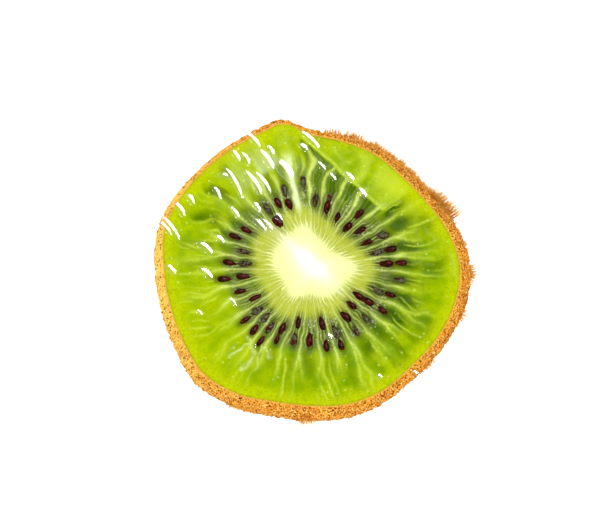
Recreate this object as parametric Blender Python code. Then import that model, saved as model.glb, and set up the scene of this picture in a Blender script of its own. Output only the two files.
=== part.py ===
"""Half of a green kiwifruit, cut crosswise just past its widest section and set cut face up.

Lengths are in metres and +Z is up. The origin is the middle of the flat stem scar that the
half stands on. The fruit's own axis runs straight up from there to the middle of the core.
The half grew as one piece, so it is one solid: skin, flesh, core and seeds are fused.
"""

import math
import random

import bmesh
import bpy
from mathutils import Euler, Matrix, Vector

MM = 0.001

# Heights above the surface that the half stands on.
CUT_HEIGHT = 38.0 * MM
WIDEST_HEIGHT = 29.0 * MM
DOME_HEIGHT = 30.7 * MM

# The skin stands a little proud of the flesh, and the side swells below the cut.
SKIN_THICKNESS = 0.5 * MM
FLESH_STEP = 0.2 * MM
CUT_RATIO = math.sqrt(1.0 - ((CUT_HEIGHT - WIDEST_HEIGHT) / DOME_HEIGHT) ** 2)

# Distance from the axis to the edge of the flesh on the cut, every 15 degrees from +X.
FLESH_RADII_MM = (
    24.8, 23.6, 22.1, 21.5, 21.7, 21.7, 22.1, 23.7, 23.8, 23.9, 24.5, 25.1,
    24.4, 24.2, 24.5, 25.1, 24.4, 23.2, 23.1, 23.6, 23.7, 23.4, 24.0, 24.6,
)
CORNER_ANGLE = math.radians(100.0)
CORNER_WIDTH = math.radians(7.0)
CORNER_RISE = 1.1 * MM
CORNER_DEPTH = 9.0 * MM

# How much further the widest section stands out than the plain form, every 30 degrees.
BELLY_MM = (0.5, 0.8, 0.6, 0.1, 0.0, -0.2, -0.2, -0.2, -0.2, 0.1, -0.2, 0.0)

# Distance from the axis to the edge of the pale core, every 20 degrees from +X.
CORE_RADII_MM = (
    8.1, 6.0, 4.8, 5.1, 5.9, 7.6, 7.0, 7.0, 7.3, 6.8, 5.8, 5.9, 6.4, 5.3, 5.4, 6.3, 6.4, 6.9,
)
CORE_RISE = 0.45 * MM

# Each seed chamber's direction in degrees, and the rows in it that hold a seed.
LOCULES = (
    (3, (3.2, 5.7)), (13, (2.0, 4.4)), (24, (1.0, 3.8)), (37, (1.0,)), (48, (-0.2, 2.8)),
    (62, (0.0,)), (75, (1.0, 2.8)), (86, (2.0,)), (95, (5.0,)), (109, (1.8, 4.2)), (117, (2.8,)),
    (126, (0.0, 2.7)), (139, ()), (150, (3.2,)), (158, (4.3,)), (167, (2.2,)), (177, (1.6, 4.4)),
    (188, (2.1, 5.2)), (199, (3.2,)), (209, (1.2,)), (219, (2.1, 4.8)), (228, (2.0, 4.9)),
    (236, (2.9, 5.6)), (245, (2.0, 4.0)), (257, (0.1, 3.1)), (269, (2.9,)), (281, (0.2, 4.1)),
    (291, (2.2, 4.6)), (305, (0.8, 3.6)), (317, (-0.1, 3.2)), (329, (-0.1, 1.8, 4.5)),
    (341, (2.6, 4.6)), (352, (5.7,)),
)
FIRST_ROW = 9.3 * MM
ROW_PITCH = 1.0 * MM
COLUMNS_PER_LOCULE = 3

# A seed is a flattened drop, lying along the radius with its point towards the core.
SEED_LENGTH = 2.2 * MM
SEED_WIDTH = 1.1 * MM
SEED_DEPTH = 1.0 * MM
SEED_TAPER = 0.55
SEED_SIDES = 7
SEED_RINGS = 6
SEED_SIZE_SPREAD = 0.12
SEED_TURN_SPREAD = math.radians(10.0)
SEED_SHIFT_SPREAD = 0.1 * MM
LARGE_SEED = (126, 0.0)
LARGE_SEED_SIZE = 1.3
RANDOM_SEED = 5

# Rings of the cut face from the flesh's edge to the core's: the way out from the core as a
# share, then how far the chambers' walls and their floors stand off the flat of the cut.
FACE_RINGS = (
    (1.00, 0.00 * MM, 0.00 * MM),
    (0.80, 0.05 * MM, -0.03 * MM),
    (0.63, 0.15 * MM, -0.08 * MM),
    (0.48, 0.32 * MM, -0.22 * MM),
    (0.34, 0.38 * MM, -0.28 * MM),
    (0.20, 0.38 * MM, -0.28 * MM),
    (0.09, 0.28 * MM, -0.15 * MM),
    (0.00, 0.12 * MM, 0.12 * MM),
)
CORE_RINGS = (0.66, 0.33)

# The side's rings in degrees above and below the widest section, the top one being the cut's.
SIDE_TOP_ANGLE = math.asin((CUT_HEIGHT - WIDEST_HEIGHT) / DOME_HEIGHT)
SIDE_DEGREES = (11.0, 5.0, -2.0, -10.0, -19.0, -28.0, -37.0, -46.0, -54.0, -62.0, -69.0, -75.0)
SIDE_FULLNESS = 0.87

# The stem end in rings, as radius and height: shoulder, groove, rim and flat of the scar.
STEM_END = ((6.5, 0.6), (5.5, 1.2), (4.9, 0.4), (4.6, 0.0))

# Points that the union of body and seeds leaves closer than this are merged.
MERGE_DISTANCE = 0.02 * MM

# The finishes, in the order of the solid's material slots: colour and roughness.
FINISHES = (
    ("skin", (0.34, 0.15, 0.04), 0.85),
    ("flesh", (0.30, 0.55, 0.02), 0.35),
    ("core", (0.86, 0.88, 0.45), 0.40),
    ("seed", (0.03, 0.004, 0.003), 0.25),
)
SKIN, FLESH, CORE, SEED = range(len(FINISHES))


def around(values, angle):
    """Value at an angle of the smooth closed curve through evenly spaced values."""
    place = (angle / math.tau) % 1.0 * len(values)
    index = int(place)
    t = place - index
    before, here, after, beyond = (values[(index + step) % len(values)] for step in (-1, 0, 1, 2))
    slope = (after - before) / 2.0
    next_slope = (beyond - here) / 2.0
    bend = 3.0 * (after - here) - 2.0 * slope - next_slope
    twist = slope + next_slope - 2.0 * (after - here)
    return here + t * (slope + t * (bend + t * twist))


def angle_between(first, second):
    """Signed angle from the second direction to the first, within half a turn."""
    return (first - second + math.pi) % math.tau - math.pi


def flesh_radius(angle, depth=0.0):
    """Distance from the axis to the flesh's edge, with a corner that fades below the cut."""
    aside = angle_between(angle, CORNER_ANGLE) / CORNER_WIDTH
    below = depth / CORNER_DEPTH
    corner = CORNER_RISE * math.exp(-aside ** 2 - below ** 2)
    return around(FLESH_RADII_MM, angle) * MM + corner


def core_radius(angle):
    """Distance from the axis to the core's edge."""
    return around(CORE_RADII_MM, angle) * MM


def column_angles():
    """Directions of the columns: one on each chamber wall, the others on the floor between."""
    centres = [math.radians(degrees) for degrees, _ in LOCULES]
    walls = []
    for index, centre in enumerate(centres):
        walls.append(centre - angle_between(centre, centres[index - 1]) / 2.0)
    angles = []
    for index, wall in enumerate(walls):
        width = angle_between(walls[(index + 1) % len(walls)], wall)
        for column in range(COLUMNS_PER_LOCULE):
            angles.append(wall + width * column / COLUMNS_PER_LOCULE)
    return angles


def side_point(angle, tilt):
    """Point of the skin: an ellipse above the widest section and a fuller one below it.

    The fruit's lumps fade towards the stem end, where it is round, and its belly fades from
    the widest section to the cut and to the ground.
    """
    mean = sum(FLESH_RADII_MM) / len(FLESH_RADII_MM) * MM
    if tilt > 0.0:
        share = math.cos(tilt)
        height = WIDEST_HEIGHT + DOME_HEIGHT * math.sin(tilt)
    else:
        share = math.cos(tilt) ** SIDE_FULLNESS
        height = WIDEST_HEIGHT * (1.0 - math.sin(-tilt) ** SIDE_FULLNESS)
    lump = (flesh_radius(angle, CUT_HEIGHT - height) - mean) * min(1.0, share / CUT_RATIO)
    reach = CUT_HEIGHT - WIDEST_HEIGHT if tilt > 0.0 else WIDEST_HEIGHT
    belly = around(BELLY_MM, angle) * MM * (1.0 - ((height - WIDEST_HEIGHT) / reach) ** 2)
    radius = (mean + SKIN_THICKNESS + lump) * share / CUT_RATIO + belly
    return polar(angle, radius, height)


def polar(angle, radius, height):
    """Point at a direction, a distance from the axis and a height."""
    return Vector((radius * math.cos(angle), radius * math.sin(angle), height))


def ring_points(angles):
    """Rings of points from the scar's flat, up the skin, over the rim and in to the core.

    Each ring comes with the finish of the band that joins it to the ring before.
    """
    rings = []
    for radius, height in reversed(STEM_END):
        rings.append((SKIN, [polar(a, radius * MM, height * MM) for a in angles]))
    for tilt in (*(math.radians(degrees) for degrees in reversed(SIDE_DEGREES)), SIDE_TOP_ANGLE):
        rings.append((SKIN, [side_point(a, tilt) for a in angles]))
    rings.append((SKIN, [polar(a, flesh_radius(a), CUT_HEIGHT) for a in angles]))
    flat = CUT_HEIGHT - FLESH_STEP
    for share, wall_rise, floor_rise in FACE_RINGS:
        points = []
        for index, angle in enumerate(angles):
            edge = core_radius(angle)
            radius = edge + share * (flesh_radius(angle) - FLESH_STEP - edge)
            rise = floor_rise if index % COLUMNS_PER_LOCULE else wall_rise
            points.append(polar(angle, radius, flat + rise))
        rings.append((FLESH, points))
    for share in CORE_RINGS:
        height = flat + FACE_RINGS[-1][1] + CORE_RISE * (1.0 - share ** 2)
        rings.append((CORE, [polar(a, core_radius(a) * share, height) for a in angles]))
    return rings


def add_material(name, colour, roughness):
    """A finish of one colour and roughness."""
    material = bpy.data.materials.new(name)
    material.use_nodes = True
    shader = material.node_tree.nodes["Principled BSDF"]
    shader.inputs["Base Color"].default_value = (*colour, 1.0)
    shader.inputs["Roughness"].default_value = roughness
    shader.inputs["Metallic"].default_value = 0.0
    return material


def add_object(name, mesh_data, materials, collection):
    """An object of a bmesh, with every finish in its slots."""
    mesh = bpy.data.meshes.new(name)
    mesh_data.to_mesh(mesh)
    mesh_data.free()
    for material in materials:
        mesh.materials.append(material)
    thing = bpy.data.objects.new(name, mesh)
    collection.objects.link(thing)
    return thing


def add_body(materials):
    """The half without its seeds: rings bridged into one skin, closed at scar and core."""
    angles = column_angles()
    body = bmesh.new()
    loops = []
    for finish, points in ring_points(angles):
        loop = [body.verts.new(point) for point in points]
        if loops:
            below = loops[-1]
            for index in range(len(angles)):
                after = (index + 1) % len(angles)
                face = body.faces.new((below[index], below[after], loop[after], loop[index]))
                face.material_index = finish
                face.smooth = finish == SKIN
        loops.append(loop)
    body.faces.new(list(reversed(loops[0])))
    top = CUT_HEIGHT - FLESH_STEP + FACE_RINGS[-1][1] + CORE_RISE
    middle = body.verts.new((0.0, 0.0, top))
    for index in range(len(angles)):
        face = body.faces.new((loops[-1][index], loops[-1][(index + 1) % len(angles)], middle))
        face.material_index = CORE
    return add_object("kiwifruit_half", body, materials, bpy.context.scene.collection)


def add_seed(name, place, angle, scale, draw, materials, collection):
    """One seed: a sphere drawn out to a drop, turned to point at the core and half sunk."""
    drop = bmesh.new()
    bmesh.ops.create_uvsphere(drop, u_segments=SEED_SIDES, v_segments=SEED_RINGS, radius=0.5)
    size = scale + draw.uniform(-SEED_SIZE_SPREAD, SEED_SIZE_SPREAD)
    for vert in drop.verts:
        along = vert.co.z
        taper = 1.0 + SEED_TAPER * along
        vert.co = Vector((
            along * SEED_LENGTH * size,
            vert.co.x * SEED_WIDTH * size * taper,
            vert.co.y * SEED_DEPTH * size * taper,
        ))
    turn = angle + draw.uniform(-SEED_TURN_SPREAD, SEED_TURN_SPREAD)
    roll = draw.uniform(-SEED_TURN_SPREAD, SEED_TURN_SPREAD)
    matrix = Matrix.Translation(place) @ Euler((roll, 0.0, turn)).to_matrix().to_4x4()
    bmesh.ops.transform(drop, matrix=matrix, verts=drop.verts)
    bmesh.ops.recalc_face_normals(drop, faces=drop.faces)
    for face in drop.faces:
        face.material_index = SEED
    return add_object(name, drop, materials, collection)


def add_seeds(materials, collection):
    """Every seed, in the rows of its chamber, with small seeded differences."""
    draw = random.Random(RANDOM_SEED)
    floor = CUT_HEIGHT - FLESH_STEP + FACE_RINGS[4][2]
    for degrees, rows in LOCULES:
        for row in rows:
            angle = math.radians(degrees)
            shift = draw.uniform(-SEED_SHIFT_SPREAD, SEED_SHIFT_SPREAD)
            radius = FIRST_ROW + row * ROW_PITCH + shift
            place = polar(angle, radius, floor)
            scale = LARGE_SEED_SIZE if (degrees, row) == LARGE_SEED else 1.0
            add_seed(f"seed_{degrees}_{row}", place, angle, scale, draw, materials, collection)


def join_all(body, collection):
    """Fuse the collection's objects to the body with one Boolean union, and drop them."""
    union = body.modifiers.new("join", "BOOLEAN")
    union.operation = "UNION"
    union.solver = "EXACT"
    union.operand_type = "COLLECTION"
    union.collection = collection
    evaluated = body.evaluated_get(bpy.context.evaluated_depsgraph_get())
    joined = bpy.data.meshes.new_from_object(evaluated)
    body.modifiers.clear()
    body.data = joined
    clean = bmesh.new()
    clean.from_mesh(joined)
    bmesh.ops.remove_doubles(clean, verts=clean.verts, dist=MERGE_DISTANCE)
    bmesh.ops.dissolve_degenerate(clean, edges=clean.edges, dist=MERGE_DISTANCE)
    clean.to_mesh(joined)
    clean.free()
    for thing in list(collection.objects):
        bpy.data.objects.remove(thing, do_unlink=True)
    bpy.data.collections.remove(collection)


def main():
    """Clear the scene and build the half."""
    for thing in list(bpy.data.objects):
        bpy.data.objects.remove(thing, do_unlink=True)
    materials = [add_material(*finish) for finish in FINISHES]
    seeds = bpy.data.collections.new("seeds")
    bpy.context.scene.collection.children.link(seeds)
    body = add_body(materials)
    add_seeds(materials, seeds)
    join_all(body, seeds)


main()
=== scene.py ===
"""Looks of a green kiwifruit half that stands cut face up on its stem scar.

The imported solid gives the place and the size. Around it this script works out, as surfaces on
numpy grids, the wet cut flesh with its core and seed chambers, the glossy seeds, the bumpy skin
with its stem scar, the fuzz, and the juice that beads on the cut. Lengths are in metres, +Z is
up, and the origin is the middle of the stem scar. A name that ends in _mm is in millimetres.
"""

import logging
import math
from dataclasses import dataclass, field
from enum import Enum
from typing import Any

import bpy
import numpy as np
from mathutils import Matrix, Vector


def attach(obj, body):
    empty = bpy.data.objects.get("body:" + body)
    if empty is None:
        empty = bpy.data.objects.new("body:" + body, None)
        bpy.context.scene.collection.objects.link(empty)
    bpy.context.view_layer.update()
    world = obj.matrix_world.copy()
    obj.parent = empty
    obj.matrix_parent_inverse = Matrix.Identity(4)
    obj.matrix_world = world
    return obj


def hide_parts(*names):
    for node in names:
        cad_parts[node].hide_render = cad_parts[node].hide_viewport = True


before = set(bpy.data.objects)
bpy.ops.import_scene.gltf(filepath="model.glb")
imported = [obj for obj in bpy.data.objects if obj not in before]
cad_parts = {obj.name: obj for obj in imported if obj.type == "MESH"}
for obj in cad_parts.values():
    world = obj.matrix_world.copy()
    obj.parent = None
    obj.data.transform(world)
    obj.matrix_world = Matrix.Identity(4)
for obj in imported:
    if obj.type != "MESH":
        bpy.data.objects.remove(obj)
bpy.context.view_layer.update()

Array = np.ndarray
MM = 0.001
TURN = 2.0 * math.pi
NODE = "kiwifruit_half"
BODY = "root"
LOG = logging.getLogger("kiwifruit_half")
BLEND = {"data_type": "RGBA", "clamp_factor": True}
TIMES = {"operation": "MULTIPLY"}
PLUS = {"operation": "ADD"}


class Slot(Enum):
    """The record's material slots."""

    SKIN = "skin"
    FLESH = "flesh"
    SEED = "seed"
    HAIR = "hair"
    JUICE = "juice"


@dataclass
class Surface:
    """A closed surface: its points, its four-sided and three-sided faces, and its point masks."""

    points: Array
    quads: Array
    triangles: Array
    masks: dict[str, Array] = field(default_factory=dict)


def srgb(code: str) -> tuple[float, float, float, float]:
    """Turn an sRGB hex colour into the linear colour that shaders take.

    Args:
        code: Six hex digits, red first.

    Returns:
        Linear red, green and blue, and an alpha of one.
    """
    channels = [int(code[place:place + 2], 16) / 255.0 for place in (0, 2, 4)]
    linear = [c / 12.92 if c <= 0.04045 else ((c + 0.055) / 1.055) ** 2.4 for c in channels]
    return (linear[0], linear[1], linear[2], 1.0)


def ramp(value: Array, low: float | Array, high: float | Array) -> Array:
    """Rise smoothly from 0 at low to 1 at high, or fall where high is under low.

    Args:
        value: What is measured.
        low: Where the ramp is 0.
        high: Where the ramp is 1.

    Returns:
        The cubic 3t^2 - 2t^3 of the clamped share t of the way from low to high.
    """
    share = np.clip((value - low) / (high - low), 0.0, 1.0)
    return share * share * (3.0 - 2.0 * share)


def bell(value: Array, width: float | Array) -> Array:
    """Fall off like a bell: e^-(value / width)^2."""
    return np.exp(-((value / width) ** 2))


def turn_from(angle: Array, direction: float) -> Array:
    """Measure the turn, within half a turn, from a direction in degrees to angles in radians."""
    return np.mod(angle - math.radians(direction) + math.pi, TURN) - math.pi


def near(angle: Array, direction: float, spread: float) -> Array:
    """Give a bell round a direction, which is in degrees, as its spread is."""
    return bell(turn_from(angle, direction), math.radians(spread))


def cubic(before: Array, here: Array, after: Array, beyond: Array, t: Array) -> Array:
    """Run the cubic from here to after, whose slopes are half of what lies between neighbours.

    Args:
        before: What comes before here.
        here: Where t is 0.
        after: Where t is 1.
        beyond: What comes beyond after.
        t: The share of the way.

    Returns:
        What lies at t.
    """
    slope, next_slope = (after - before) / 2.0, (beyond - here) / 2.0
    bend = 3.0 * (after - here) - 2.0 * slope - next_slope
    twist = slope + next_slope - 2.0 * (after - here)
    return here + t * (slope + t * (bend + t * twist))


def around(values: tuple[float, ...], angle: Array) -> Array:
    """Read a smooth closed curve through values that are evenly spaced round a turn.

    Args:
        values: The curve's values, the first of them at angle 0.
        angle: Directions in radians.

    Returns:
        The curve's value in each direction.
    """
    table = np.array(values)
    place = np.mod(angle / TURN, 1.0) * len(table)
    index = place.astype(int)
    neighbours = (table[(index + step) % len(table)] for step in (-1, 0, 1, 2))
    return cubic(*neighbours, place - index)


def turn_noise(angle: Array, height: Array, lobes: int, pitch: float, seed: int) -> Array:
    """Smooth seeded noise that closes on itself round a turn.

    Values drawn on a lattice, lobes of them to a turn and one to each pitch, are blended across
    each cell by the cubic ramp.

    Args:
        angle: Directions in radians.
        height: The second coordinate, a radius or a height.
        lobes: Lattice values to a turn.
        pitch: Lattice spacing along the second coordinate.
        seed: Seed of the draw.

    Returns:
        Noise between -1 and 1.
    """
    rows = 97
    table = np.random.default_rng(seed).uniform(-1.0, 1.0, (lobes, rows))
    x = np.mod(angle / TURN, 1.0) * lobes
    y = height / pitch
    column, row = np.floor(x).astype(int), np.floor(y).astype(int)
    across, along = ramp(x - column, 0.0, 1.0), ramp(y - row, 0.0, 1.0)
    corner = [[table[(column + i) % lobes, (row + j) % rows] for j in (0, 1)] for i in (0, 1)]
    this_side = corner[0][0] * (1.0 - along) + corner[0][1] * along
    next_side = corner[1][0] * (1.0 - along) + corner[1][1] * along
    return this_side * (1.0 - across) + next_side * across


def closed_surface(rings: Array, first: Array, last: Array) -> Surface:
    """Close many tubes of rings, each with a fan of triangles to a point at either end.

    Point (i, j) of a tube is column j of ring i. A quad joins it to the next column and ring.

    Args:
        rings: Points as tube, ring, column, coordinate, each ring counter-clockwise when its
            tube is looked at from the last end.
        first: The closing point below each tube's first ring.
        last: The closing point above each tube's last ring.

    Returns:
        All the tubes as one surface that faces outwards.
    """
    count, rows, columns, _ = rings.shape
    size = rows * columns + 2
    points = np.concatenate(
        (first[:, None, :], rings.reshape(count, rows * columns, 3), last[:, None, :]), axis=1
    )
    grid = 1 + np.arange(rows * columns).reshape(rows, columns)
    beside = np.roll(grid, -1, axis=1)
    quads = np.stack((grid[:-1], beside[:-1], beside[1:], grid[1:]), axis=-1).reshape(-1, 4)
    start = np.stack((np.zeros(columns, int), beside[0], grid[0]), axis=-1)
    end = np.stack((grid[-1], beside[-1], np.full(columns, size - 1)), axis=-1)
    triangles = np.concatenate((start, end))
    offset = (np.arange(count) * size)[:, None, None]
    return Surface(
        points.reshape(-1, 3), (quads + offset).reshape(-1, 4), (triangles + offset).reshape(-1, 3)
    )


def ring_mask(rows: Array, first: float, last: float) -> Array:
    """Order a mask worked out on rings, with a value at each pole, as closed_surface does."""
    return np.concatenate(([first], rows.ravel(), [last]))


def add_piece(
    name: str, surface: Surface, material: bpy.types.Material
) -> bpy.types.Object:
    """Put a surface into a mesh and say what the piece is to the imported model.

    Args:
        name: The piece's name.
        surface: Its points, faces and masks.
        material: Its finish.

    Returns:
        The piece's object, at the origin, riding on the half's one body.
    """
    mesh = bpy.data.meshes.new(name)
    mesh.vertices.add(len(surface.points))
    mesh.vertices.foreach_set("co", surface.points.astype(np.float32).ravel())
    corners = np.concatenate((surface.quads.ravel(), surface.triangles.ravel()))
    sides = np.concatenate((np.full(len(surface.quads), 4), np.full(len(surface.triangles), 3)))
    mesh.loops.add(len(corners))
    mesh.loops.foreach_set("vertex_index", corners.astype(np.int32))
    mesh.polygons.add(len(sides))
    mesh.polygons.foreach_set("loop_start", (np.cumsum(sides) - sides).astype(np.int32))
    mesh.polygons.foreach_set("use_smooth", np.ones(len(sides), bool))
    for mask, values in surface.masks.items():
        layer = mesh.attributes.new(mask, "FLOAT", "POINT")
        layer.data.foreach_set("value", values.astype(np.float32).ravel())
    mesh.update(calc_edges=True)
    mesh.materials.append(material)
    piece = bpy.data.objects.new(name, mesh)
    bpy.context.scene.collection.objects.link(piece)
    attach(piece, BODY)
    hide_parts(NODE)
    return piece


@dataclass
class Paint:
    """A material under way, which starts without a node."""

    name: str

    def __post_init__(self) -> None:
        """Make the empty material."""
        self.material = bpy.data.materials.new(self.name)
        self.material.use_nodes = True
        self.material.node_tree.nodes.clear()

    def add(
        self, kind: str, settings: dict[str, Any], links: dict[str | int, Any], output: str | int = 0
    ) -> bpy.types.NodeSocket | None:
        """Add one node with its settings and its inputs.

        Args:
            kind: The node's type, such as ShaderNodeMix.
            settings: The node's own settings by name.
            links: Its inputs by name or number, each a plain value or another node's output.
            output: The name or number of the output that is wanted.

        Returns:
            That output, or nothing for the node that ends a material.
        """
        tree = self.material.node_tree
        node = tree.nodes.new(kind)
        for setting, value in settings.items():
            setattr(node, setting, value)
        for socket, value in links.items():
            if isinstance(value, bpy.types.NodeSocket):
                tree.links.new(value, node.inputs[socket])
            else:
                node.inputs[socket].default_value = value
        return node.outputs[output] if len(node.outputs) else None


@dataclass(frozen=True)
class WetFlesh:
    """Ripe green kiwifruit flesh, cut with a sharp knife.

    Its cells are full of juice, so light sinks in and comes back greener, and a wet film gives
    it a soft gloss. The masks of the mesh say where walls, chamber floors and core lie.
    """

    bright: str = "A4BC00"
    deep: str = "769C00"
    shade: str = "3E5E00"
    # Painted light: the brighter yellow laid on some sides of the flesh.
    painted_light: str = "BECE02"
    edge: str = "C0CC0A"
    chamber_green: str = "526A0A"
    chamber_grey: str = "727848"
    # Dark round the seeds, and painted shade on the chambers of the right side.
    pit: str = "3A4410"
    fibre_gap: str = "B0B834"
    wall: str = "D0DE82"
    pale: str = "DEEAB8"
    vein: str = "CEE048"
    core: str = "F2F4A4"
    # The core's whiter middle, with a painted highlight on it.
    core_middle_and_highlight: str = "FFFFF0"
    speck: str = "D0E46C"
    frost: str = "CCD0B4"
    # Sizes and detail. The flesh's cells are 0.1 to 0.2 mm across, about a pixel of the render,
    # so their grain is drawn at 0.35 mm and the frost of crystals between seeds at 0.5 mm.
    noises: tuple[tuple[str, float, float], ...] = (
        ("blotch", 2.4 * MM, 3.0), ("mottle", 0.9 * MM, 3.0), ("grain", 0.35 * MM, 3.0),
        ("greyness", 1.1 * MM, 2.0), ("broken", 0.3 * MM, 2.0),
    )
    speck_pitch: float = 1.4 * MM
    frost_pitch: float = 0.5 * MM
    grain_depth: float = 0.05 * MM
    masks: tuple[str, ...] = (
        "edge", "painted_light", "shade", "chamber", "gap", "pit", "speckled", "frost", "vein", "wall", "pale",
        "core", "middle",
    )
    sink: tuple[float, float, float] = (1.0, 1.3, 0.25)
    sink_depth: float = 0.5 * MM
    roughness: float = 0.34
    ior: float = 1.36

    def build(self) -> bpy.types.Material:
        """Lay the flesh's colours over one another by its masks and give it its wet gloss.

        Returns:
            The material.
        """
        paint = Paint("wet_green_flesh")
        place = paint.add("ShaderNodeTexCoord", {}, {}, "Object")
        mask = {
            name: paint.add("ShaderNodeAttribute", {"attribute_name": name}, {}, "Fac")
            for name in self.masks
        }
        texture = {
            name: paint.add(
                "ShaderNodeTexNoise", {}, {"Vector": place, "Scale": 1.0 / size, "Detail": detail}
            )
            for name, size, detail in self.noises
        }
        for name, pitch in (("speck", self.speck_pitch), ("frost", self.frost_pitch)):
            links = {"Vector": place, "Scale": 1.0 / pitch, "Randomness": 1.0}
            texture[name] = paint.add("ShaderNodeTexVoronoi", {"feature": "F1"}, links, "Distance")
        share = {}
        for name, source, low, high in (
            ("blotch", "blotch", 0.35, 0.68), ("mottle", "mottle", 0.5, 0.75),
            ("grain", "grain", 0.46, 0.7), ("greyness", "greyness", 0.38, 0.66),
            ("broken", "broken", 0.38, 0.6), ("speck", "speck", 0.19, 0.02),
            ("frost", "frost", 0.44, 0.2), ("vein", "grain", 0.15, 0.7), ("wall", "grain", 0.1, 0.6),
        ):
            links = {"Value": texture[source], "From Min": low, "From Max": high}
            share[name] = paint.add("ShaderNodeMapRange", {"clamp": True}, links)
        for name, factor in (
            ("mottle", 0.55), ("grain", 0.5), ("speck", mask["speckled"]), ("speck", share["broken"]),
            ("frost", mask["frost"]), ("frost", share["broken"]), ("vein", mask["vein"]),
            ("wall", mask["wall"]),
        ):
            share[name] = paint.add("ShaderNodeMath", TIMES, {0: share[name], 1: factor})
        greens = {0: share["greyness"], 6: srgb(self.chamber_green), 7: srgb(self.chamber_grey)}
        chamber = paint.add("ShaderNodeMix", BLEND, greens, 2)
        colour = srgb(self.bright)
        for amount, over in (
            (share["blotch"], srgb(self.deep)), (mask["edge"], srgb(self.edge)),
            (share["mottle"], srgb(self.deep)), (mask["painted_light"], srgb(self.painted_light)),
            (share["grain"], srgb(self.deep)), (mask["shade"], srgb(self.shade)),
            (mask["chamber"], chamber), (mask["gap"], srgb(self.fibre_gap)),
            (mask["pit"], srgb(self.pit)), (share["speck"], srgb(self.speck)),
            (share["frost"], srgb(self.frost)), (share["vein"], srgb(self.vein)),
            (share["wall"], srgb(self.wall)), (mask["pale"], srgb(self.pale)),
            (mask["core"], srgb(self.core)), (mask["middle"], srgb(self.core_middle_and_highlight)),
        ):
            colour = paint.add("ShaderNodeMix", BLEND, {0: amount, 6: colour, 7: over}, 2)
        relief = {"Height": texture["grain"], "Distance": self.grain_depth, "Strength": 0.5}
        shader = {
            "Base Color": colour, "Roughness": self.roughness, "IOR": self.ior,
            "Subsurface Weight": 0.2, "Subsurface Radius": self.sink, "Subsurface Scale": self.sink_depth,
            "Specular IOR Level": 0.0,
            "Coat Weight": 0.03, "Coat Roughness": 0.06, "Coat IOR": 1.34,
            "Normal": paint.add("ShaderNodeBump", {}, relief),
        }
        surface = paint.add("ShaderNodeBsdfPrincipled", {}, shader)
        paint.add("ShaderNodeOutputMaterial", {}, {"Surface": surface})
        return paint.material


@dataclass(frozen=True)
class SeedCoat:
    """The hard coat of a ripe seed, near black with red in it, smooth and wet.

    A veil of wet flesh clings to some seeds and greys them in patches.
    """

    dark: str = "180000"
    red: str = "601008"
    veil: str = "565C3E"
    pit: float = 0.45 * MM
    pit_depth: float = 0.05 * MM
    patch: float = 0.42 * MM

    def build(self) -> bpy.types.Material:
        """Mix the coat's two browns, and lay the flesh's veil over some seeds.

        Returns:
            The material.
        """
        paint = Paint("glossy_seed_coat")
        place = paint.add("ShaderNodeTexCoord", {}, {}, "Object")
        veiled = paint.add("ShaderNodeAttribute", {"attribute_name": "veil"}, {}, "Fac")
        pits, patches = (
            paint.add(
                "ShaderNodeTexNoise", {}, {"Vector": place, "Scale": 1.0 / size, "Detail": detail}
            )
            for size, detail in ((self.pit, 2.0), (self.patch, 3.0))
        )
        more = paint.add("ShaderNodeMath", TIMES, {0: veiled, 1: 0.19})
        patches = paint.add("ShaderNodeMath", PLUS, {0: patches, 1: more})
        colour = srgb(self.dark)
        for source, low, high, over in ((pits, 0.38, 0.78, self.red), (patches, 0.63, 0.75, self.veil)):
            links = {"Value": source, "From Min": low, "From Max": high}
            amount = paint.add("ShaderNodeMapRange", {"clamp": True}, links)
            colour = paint.add("ShaderNodeMix", BLEND, {0: amount, 6: colour, 7: srgb(over)}, 2)
        relief = {"Height": pits, "Distance": self.pit_depth, "Strength": 0.6}
        shader = {
            "Base Color": colour, "Roughness": 0.34, "IOR": 1.45, "Specular IOR Level": 0.03,
            "Coat Weight": 0.05, "Coat Roughness": 0.1, "Normal": paint.add("ShaderNodeBump", {}, relief),
        }
        surface = paint.add("ShaderNodeBsdfPrincipled", {}, shader)
        paint.add("ShaderNodeOutputMaterial", {}, {"Surface": surface})
        return paint.material


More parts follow.
